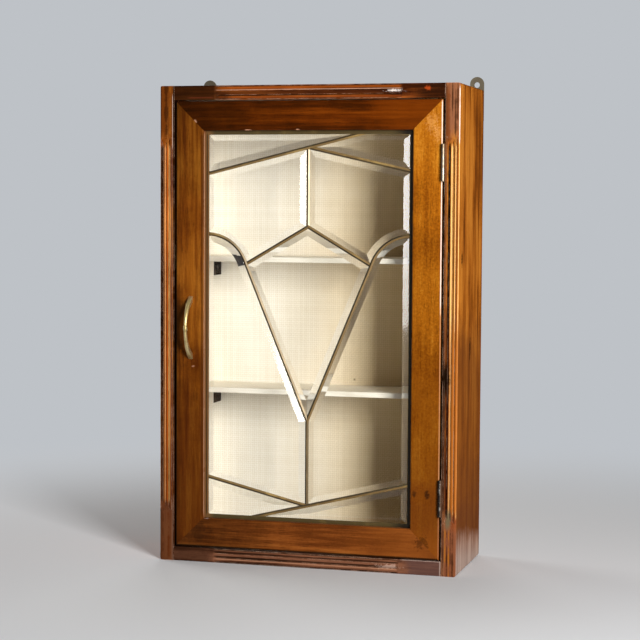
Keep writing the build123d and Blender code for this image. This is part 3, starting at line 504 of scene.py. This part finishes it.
board_top_patches = kept_to(FRONT, (
    # The reeds: a painted highlight on the upper bead's lip and painted shade in the groove, among the
    # tones of the beads
    (stripe(Z, 696.5, 3.6, **END_REEDS), paint(160, 76, 22), 0.6),
    (stripe(Z, 693.2, 1.0, **END_REEDS), PINK_WEAR_AND_HIGHLIGHT, 0.85),
    (stripe(Z, 689.0, 4.6, **END_REEDS), paint(54, 22, 8), 0.7),
    (stripe(Z, 685.2, 1.4, **END_REEDS), GRIME_AND_SHADE, 0.9),
    (stripe(Z, 681.8, 3.4, **END_REEDS), paint(128, 54, 18), 0.5),
    (past(X, -112, -150, 24), DARK_WOOD_AND_SHADE, 0.85),
    (past(X, -130, -170, 20), SHADE, 0.35),
    (stripe(Z, 682.4, 1.6, along=X, low=-184, high=-138), paint(104, 48, 28), 0.6),
    (past(X, 150, 175, 20), DARK_WOOD_AND_SHADE, 0.65),
    (spot((128, -88, 690), (13, 6, 2.3), 0.9, 380.0), WHITE_WEAR_AND_HIGHLIGHT, 0.85),
    (spot((177, -88, 693), (5, 5, 4), 0.6), paint(170, 66, 22), 0.8),
))
board_bottom_patches = kept_to(FRONT, (
    # The reeds: pale painted highlights on the beads and painted shade in the grooves
    (stripe(Z, 18.6, 1.4, **END_REEDS), paint(136, 88, 62), 0.6),
    (stripe(Z, 15.8, 1.6, **END_REEDS), GRIME_AND_SHADE, 0.8),
    (stripe(Z, 13.4, 1.4, **END_REEDS), paint(140, 92, 66), 0.7),
    (stripe(Z, 9.4, 2.4, **END_REEDS), GRIME_AND_SHADE, 0.8),
    (stripe(Z, 5.7, 1.4, **END_REEDS), paint(176, 126, 96), 0.7),
    (past(X, -120, -170, 30), DARK_WOOD_AND_SHADE, 0.6),
    (past(X, 130, 165, 20), paint(88, 62, 56), 0.75),
    (stripe(Z, 20.6, 1.2, along=X, low=140, high=210), paint(172, 148, 136), 0.6),
    (spot((126, -87, 10), (20, 8, 3.4), 1.0), paint(196, 164, 146), 0.55),
    (stripe(X, 200.6, 1.4, along=Z, low=-6, high=30), paint(164, 142, 130), 0.7),
))

# Finishes of the speckled stile, the side boards, and the top and bottom boards
SPECKLED = dict(figure=0.5, speckle=0.6, wear=0.0)
SIDE_FINISH = dict(figure=1.4, gloss=0.0)
END_FINISH = dict(figure=1.3, gloss=0.06)

dress(wood("wood_stile_left", 1, Z, STILE_LEFT, stile_left_patches, wear=0.0), "door_stile_left")
dress(wood("wood_stile_right", 2, Z, STILE_RIGHT, stile_right_patches, **SPECKLED), "door_stile_right")
dress(wood("wood_rail_top", 3, X, RAIL_TOP, rail_top_patches, wear=0.0), "door_rail_top")
dress(wood("wood_rail_bottom", 4, X, RAIL_BOTTOM, rail_bottom_patches, wear=0.0), "door_rail_bottom")
side_with_less_groove_shade = wood("wood_side_left", 5, Z, SIDE_LEFT, side_left_patches, hollow_shade=0.4, **SIDE_FINISH)
dress(side_with_less_groove_shade, "side_board_left")
dress(wood("wood_side_right", 6, Z, SIDE_RIGHT, side_right_patches, **SIDE_FINISH), "side_board_right")
dress(wood("wood_top", 7, X, BOARD_TOP, board_top_patches, **END_FINISH), "top_board")
dress(wood("wood_bottom", 8, X, BOARD_BOTTOM, board_bottom_patches, **END_FINISH), "bottom_board")
dress(wood("wood_beads", 9, Z, STILE_LEFT), "glazing_beads", "door_stop")


# Woods that are left bare or only stained
CLEAT = (paint(26, 16, 9), paint(40, 26, 15), paint(58, 39, 23))
BACK = (paint(104, 72, 42), paint(132, 96, 60), paint(156, 120, 80))
DOWEL = (paint(170, 134, 90), paint(190, 154, 108), paint(206, 172, 126))

cleat_wood = wood("wood_cleats", 11, Y, CLEAT, wear=0.0, gloss=0.02)
dress(cleat_wood, "shelf_cleats_upper", "shelf_cleats_lower")
dress(wood("wood_back", 12, Z, BACK, wear=0.2, gloss=0.06), "back_panel")
dress(wood("wood_dowels", 13, X, DOWEL, wear=0.0, gloss=0.06), "carcass_dowels")


# Woven lining
THREAD_PITCH = 3.3 * MM
THREAD_DEPTH = 0.3 * MM
SLUB_WAVES = 150.0
SLUB_SHARE = 0.12
FIBRE_WAVES = 900.0
LINEN_SHADE = paint(222, 212, 192)
LINEN = paint(243, 236, 222)
LINEN_BRIGHT = paint(253, 249, 241)


def linen(name, across, upward, patches=()):
    """Plain-woven cloth with uneven threads along two axes. Patches are (mask, colour, share)."""
    g = Graph(bpy.data.materials.new(name))
    threads = []
    for axis in (across, upward):
        count = g.math("DIVIDE", g.axis(g.place, axis), THREAD_PITCH)
        index = g.math("FLOOR", count)
        bulge = g.math("SINE", g.math("MULTIPLY", g.math("SUBTRACT", count, index), math.pi))
        tone = g.node("ShaderNodeTexWhiteNoise", {"noise_dimensions": "1D"}, W=index).outputs["Value"]
        threads.append((index, bulge, tone))
    (column, warp, warp_tone), (row, weft, weft_tone) = threads
    over = g.math("PINGPONG", g.math("ADD", column, row), 1.0)
    under = g.math("SUBTRACT", 1.0, over)
    height = g.math("MULTIPLY_ADD", warp, over, g.math("MULTIPLY", weft, under))
    slubs = g.vector("MULTIPLY", g.place, drawn_out(upward, SLUB_SHARE))
    uneven = g.noise(slubs, SLUB_WAVES, 3.0, 0.6)
    fibres = g.noise(g.place, FIBRE_WAVES, 3.0, 0.7)
    tone = g.weigh((height, 0.45), (warp_tone, 0.12), (weft_tone, 0.08), (uneven, 0.14), (fibres, 0.3))
    colour = g.ramp(tone, [(0.15, LINEN_SHADE), (0.5, LINEN), (0.85, LINEN_BRIGHT)])
    colour = g.patched(colour, patches, "MULTIPLY")
    return g.finish(
        Base_Color=colour,
        Roughness=g.spread(fibres, 0.3, 0.7, 0.8, 0.95),
        Specular_IOR_Level=0.15,
        Normal=g.bump(g.weigh((height, 1.0), (fibres, 0.5)), THREAD_DEPTH, 0.6),
    )


back_shade_and_mark_patches = (
    # Painted shade: the back lining turns darker and warmer towards the right
    (past(X, -130, 130, 10), paint(225, 203, 160), 1.0),
    (spot((31.0, 78.5, 262.0), (2.2, 3.0, 2.2)), paint(120, 100, 70), 0.8),
)
dress(linen("linen_back", X, Z, back_shade_and_mark_patches), "lining_back")
dress(linen("linen_side", Y, Z), "lining_left", "lining_right")
dress(linen("linen_flat", X, Y), "lining_floor", "lining_ceiling")


# Painted shelves
PAINT_SHADE = paint(228, 219, 200)
PAINT_CREAM = paint(250, 243, 229)
PAINT_CHIP = paint(150, 118, 78)
PAINT_WAVES = 14.0
BRUSH_WAVES = 500.0
BRUSH_SHARE = 0.04
BRUSH_DEPTH = 0.08 * MM
CHIP_WAVES = 130.0
CHIP_REACH = 1.2 * MM


def shelf_paint():
    """Cream paint brushed along the shelf, rubbed through at a few edges."""
    g = Graph(bpy.data.materials.new("shelf_paint"))
    brushed = g.vector("MULTIPLY", g.place, drawn_out(X, BRUSH_SHARE))
    strokes = g.noise(brushed, BRUSH_WAVES, 3.0, 0.6)
    cloud = g.noise(g.place, PAINT_WAVES, 3.0)
    colour = g.ramp(g.weigh((strokes, 0.6), (cloud, 0.8)), [(0.3, PAINT_SHADE), (0.6, PAINT_CREAM)])
    chipped = g.spread(g.noise(g.place, CHIP_WAVES, 4.0, 0.7), 0.60, 0.68)
    chipped = g.math("MULTIPLY", chipped, g.spread(g.edges(CHIP_REACH), 0.03, 0.2, 0.0, 0.8))
    return g.finish(
        Base_Color=g.mix(chipped, colour, PAINT_CHIP),
        Roughness=g.spread(cloud, 0.3, 0.7, 0.38, 0.55),
        Normal=g.bump(strokes, BRUSH_DEPTH, 0.6),
    )


dress(shelf_paint(), "shelf_upper", "shelf_lower")


# Metals
SCRATCH_WAVES = 2600.0
SCRATCH_SHARE = 0.08
SCRATCH_DEPTH = 0.02 * MM
RUB_REACH = 0.7 * MM


def metal(name, tarnish, clean, smooth, rough, cloud_size=25.0, clean_share=0.5, patches=(), shine=1.0):
    """Aged metal: clean places fade into duller tarnish, with fine scratches and rubbed edges.

    Smooth and rough are the roughness of the clean and the tarnished places. The cloud's size is in
    millimetres. Patches are (mask, colour, share).
    """
    g = Graph(bpy.data.materials.new(name))
    cloud = g.noise(g.place, 1000.0 / cloud_size, 4.0, 0.6)
    rubbed = g.spread(cloud, 0.75 - 0.5 * clean_share, 0.95 - 0.5 * clean_share)
    rubbed = g.math("MAXIMUM", rubbed, g.spread(g.edges(RUB_REACH), 0.05, 0.4, 0.0, 0.7))
    scratched = g.vector("MULTIPLY", g.place, drawn_out(Z, SCRATCH_SHARE))
    scratches = g.noise(scratched, SCRATCH_WAVES, 2.0, 0.6)
    roughness = g.weigh((rubbed, smooth - rough), (scratches, 0.12))
    return g.finish(
        Base_Color=g.patched(g.mix(rubbed, tarnish, clean), patches),
        Metallic=g.spread(rubbed, 0.0, 1.0, 0.75 * shine, shine),
        Roughness=g.math("ADD", roughness, (smooth + rough) / 2 - 0.5),
        Normal=g.bump(scratches, SCRATCH_DEPTH, 0.5),
    )


# Cames: brass with painted shade on the slopes that face left and painted highlights on the slopes that
# face right, brighter on some cames than on others
LEFT_SLOPE_SHADE = paint(36, 29, 15)
RIGHT_SLOPE_HIGHLIGHTS = {
    "bright": paint(204, 188, 156),
    "pale": paint(150, 132, 102),
    "gold": paint(114, 90, 50),
    "warm": paint(150, 118, 64),
    "dull": paint(84, 68, 38),
}
CAMES_BY_HIGHLIGHT = {
    "bright": ["came_upper_upright"],
    "pale": ["came_v_left"],
    "gold": ["came_v_right", "came_chevron_left", "came_chevron_right"],
    "warm": ["came_top_long", "came_top_right", "came_bottom_left", "came_bottom_long"],
    "dull": ["came_lower_upright"],
}
for kind, names in CAMES_BY_HIGHLIGHT.items():
    slope_light = (
        (turned(X, 0.09, -0.16), LEFT_SLOPE_SHADE, 0.9),
        (turned(X, 0.04, 0.38), RIGHT_SLOPE_HIGHLIGHTS[kind], 0.9),
    )
    came_brass_with_painted_light = metal(
        f"{kind}_came",
        tarnish=paint(118, 92, 50),
        clean=paint(168, 138, 82),
        smooth=0.4,
        rough=0.56,
        cloud_size=40.0,
        clean_share=0.55,
        patches=slope_light,
        shine=0.4,
    )
    dress(came_brass_with_painted_light, *names)

# Painted shade on the right part of the border, painted light on its left part, and a dark line along its
# left side
border_light_and_shade = (
    (past(X, 120, 148), paint(16, 12, 8), 0.9),
    (past(X, -140, -152), paint(150, 106, 62), 0.7),
    (stripe(X, -153.4, 1.6, **DOOR_OPENING), paint(36, 26, 14), 0.85),
)
border_brass = metal(
    "border_brass",
    tarnish=paint(88, 72, 40),
    clean=paint(138, 114, 66),
    smooth=0.3,
    rough=0.5,
    cloud_size=60.0,
    clean_share=0.4,
    patches=border_light_and_shade,
)
dress(border_brass, "border_came")

handle_brass = metal(
    "handle_brass",
    tarnish=paint(176, 154, 100),
    clean=paint(244, 228, 178),
    smooth=0.22,
    rough=0.34,
    cloud_size=60.0,
    clean_share=0.6,
)
dress(handle_brass, "handle")

# Hinges: each knuckle has painted shade on both sides of a bright line, and the lower hinge is duller
hinge_names = [name for name in nodes if name.startswith("hinge_")]
hinge_shade_patches = (
    (past(X, 200.6, 199.6), GRIME_AND_SHADE, 0.85),
    (past(X, 201.3, 202.3), paint(92, 64, 44), 0.9),
)
hinge_brass = metal(
    "hinge_brass",
    tarnish=paint(150, 128, 98),
    clean=paint(238, 222, 200),
    smooth=0.24,
    rough=0.42,
    cloud_size=30.0,
    clean_share=0.55,
    patches=hinge_shade_patches,
)
dress(hinge_brass, *[name for name in hinge_names if not name.endswith("_lower")])
dull_brass = metal(
    "dull_brass",
    tarnish=paint(52, 43, 36),
    clean=paint(206, 196, 184),
    smooth=0.3,
    rough=0.5,
    cloud_size=9.0,
    clean_share=0.42,
    patches=hinge_shade_patches,
)
dress(dull_brass, *[name for name in hinge_names if name.endswith("_lower")])

catch_brass = metal(
    "catch_brass",
    tarnish=paint(150, 128, 88),
    clean=paint(226, 208, 166),
    smooth=0.24,
    rough=0.42,
    cloud_size=30.0,
    clean_share=0.55,
)
dress(catch_brass, "catch_barrel", "catch_strike", "frame_screws")

hanging_brass = metal(
    "hanging_brass",
    tarnish=paint(104, 94, 76),
    clean=paint(142, 130, 106),
    smooth=0.34,
    rough=0.5,
    cloud_size=20.0,
    clean_share=0.45,
)
dress(hanging_brass, *[name for name in nodes if name.startswith("hanging_")])

steel = metal("steel", paint(104, 102, 100), paint(184, 184, 186), smooth=0.25, rough=0.45)
dress(steel, "back_panel_nails", "handle_screws", "catch_ball", "catch_spring")
black_iron = metal("black_iron", paint(22, 17, 13), paint(52, 42, 32), smooth=0.5, rough=0.7)
dress(black_iron, "cleat_screws")


# Bevelled glass
GLINT = paint(110, 104, 96)
CLEAR_GLASS = paint(252, 252, 250)
OPEN_GLASS = paint(251, 251, 249)
GLASS_WAVES = 16.0
GLASS_WAVE_DEPTH = 0.25 * MM


def glass():
    """Clear polished glass, a little wavy, with a soft glint on the flats and a full one on the bevels.

    Lamps and soft light pass straight through it.
    """
    g = Graph(bpy.data.materials.new("clear_glass"))
    flat = g.spread(g.math("ABSOLUTE", g.facing(Y)), 0.93, 0.99)
    ground = g.node("ShaderNodeNewGeometry").outputs["True Normal"]
    wave = g.noise(g.place, GLASS_WAVES, 2.0)
    wavy = g.node("ShaderNodeBump", Height=wave, Distance=GLASS_WAVE_DEPTH, Strength=0.02, Normal=ground)
    surface = g.node(
        "ShaderNodeBsdfPrincipled",
        Base_Color=CLEAR_GLASS,
        Roughness=0.0,
        IOR=1.52,
        Transmission_Weight=1.0,
        Specular_Tint=GLINT,
        Coat_Weight=g.math("SUBTRACT", 1.0, flat),
        Coat_Roughness=0.05,
        Coat_IOR=1.6,
        Coat_Normal=wavy.outputs["Normal"],
        Normal=wavy.outputs["Normal"],
    )
    open_way = g.node("ShaderNodeBsdfTransparent", Color=OPEN_GLASS)
    ray = g.node("ShaderNodeLightPath").outputs
    passing = g.math("MAXIMUM", ray["Is Shadow Ray"], ray["Is Diffuse Ray"])
    return g.blend(passing, surface, open_way)


dress(glass(), *[name for name in nodes if name.startswith("pane_")])


# Floor and surroundings. The floor fades into the background between near and far.
BACKGROUND = paint(190, 194, 199)
FLOOR_COLOUR = paint(226, 227, 229)
FLOOR_RADIUS = 30.0
FLOOR_SIDES = 96
FLOOR_NEAR = 0.45
FLOOR_FAR = 1.5
AMBIENT = paint(255, 226, 180)
AMBIENT_STRENGTH = 0.028


def seen_rays(g):
    """1 for rays from the camera, mirrors and glass, and 0 for the rest."""
    ray = g.node("ShaderNodeLightPath").outputs
    seen = g.math("MAXIMUM", ray["Is Camera Ray"], ray["Is Glossy Ray"])
    return g.math("MAXIMUM", seen, ray["Is Transmission Ray"])


def floor():
    """A pale disc that fades into the background away from the cabinet."""
    mesh = bpy.data.meshes.new("floor")
    shape = bmesh.new()
    bmesh.ops.create_circle(shape, cap_ends=True, segments=FLOOR_SIDES, radius=FLOOR_RADIUS)
    shape.to_mesh(mesh)
    shape.free()
    disc = bpy.data.objects.new("floor", mesh)
    bpy.context.scene.collection.objects.link(disc)
    g = Graph(bpy.data.materials.new("floor"))
    far = g.spread(g.vector("LENGTH", g.place), FLOOR_NEAR, FLOOR_FAR)
    matt = g.node("ShaderNodeBsdfDiffuse", Color=FLOOR_COLOUR)
    sky = g.node("ShaderNodeEmission", Color=BACKGROUND)
    mesh.materials.append(g.blend(g.math("MULTIPLY", far, seen_rays(g)), matt, sky))


def surroundings():
    """A plain background for what is seen, and a dimmer even light for the rest."""
    g = Graph(bpy.data.worlds.new("surroundings"), "ShaderNodeOutputWorld")
    even = g.node("ShaderNodeBackground", Color=AMBIENT, Strength=AMBIENT_STRENGTH)
    plain = g.node("ShaderNodeBackground", Color=BACKGROUND, Strength=1.0)
    bpy.context.scene.world = g.blend(seen_rays(g), even, plain)


# The lamps face the middle of the cabinet. The key lamps share a place, and each is a little taller
# than the one before, so that the flashes on the bevels fade at their ends.
LAMP_TARGET = Vector((0.0, 0.0, 0.36))
KEY_LAMPS_TALL = (1.0, 1.15, 1.3, 1.45)


def softbox(name, turn, distance, height, width, tall, power):
    """A soft lamp at a turn in degrees to the right of the front, facing the cabinet."""
    lamp = bpy.data.lights.new(name, "AREA")
    lamp.shape = "RECTANGLE"
    lamp.size = width
    lamp.size_y = tall
    lamp.energy = power
    holder = bpy.data.objects.new(name, lamp)
    bpy.context.scene.collection.objects.link(holder)
    angle = math.radians(turn)
    holder.location = (distance * math.sin(angle), -distance * math.cos(angle), height)
    holder.rotation_euler = (LAMP_TARGET - holder.location).to_track_quat("-Z", "Y").to_euler()
    holder.visible_camera = False


floor()
surroundings()
for step, tall in enumerate(KEY_LAMPS_TALL):
    softbox(f"key_light_{step}", turn=37.7, distance=2.4, height=0.9, width=0.61, tall=tall, power=20.2)
softbox("left_light", turn=-115.0, distance=2.4, height=1.1, width=1.2, tall=1.4, power=24.0)
softbox("back_light", turn=-165.0, distance=2.6, height=1.2, width=1.4, tall=1.4, power=26.0)

# Camera, at the photograph's place and angle. Its sensor and lens are in millimetres, its turn in degrees.
CAMERA_SENSOR = 36.0
CAMERA_LENS = 103.42
CAMERA_NEAR = 0.05
CAMERA_PLACE = (0.73248, -2.63176, 0.52875)
CAMERA_TURN = (86.3951, -0.3394, 15.6365)

camera = bpy.data.cameras.new("camera")
camera.sensor_width = CAMERA_SENSOR
camera.lens = CAMERA_LENS
camera.clip_start = CAMERA_NEAR
viewer = bpy.data.objects.new("camera", camera)
viewer.location = CAMERA_PLACE
viewer.rotation_euler = [math.radians(angle) for angle in CAMERA_TURN]
bpy.context.scene.collection.objects.link(viewer)
bpy.context.scene.camera = viewer
bpy.context.scene.view_settings.view_transform = "Standard"
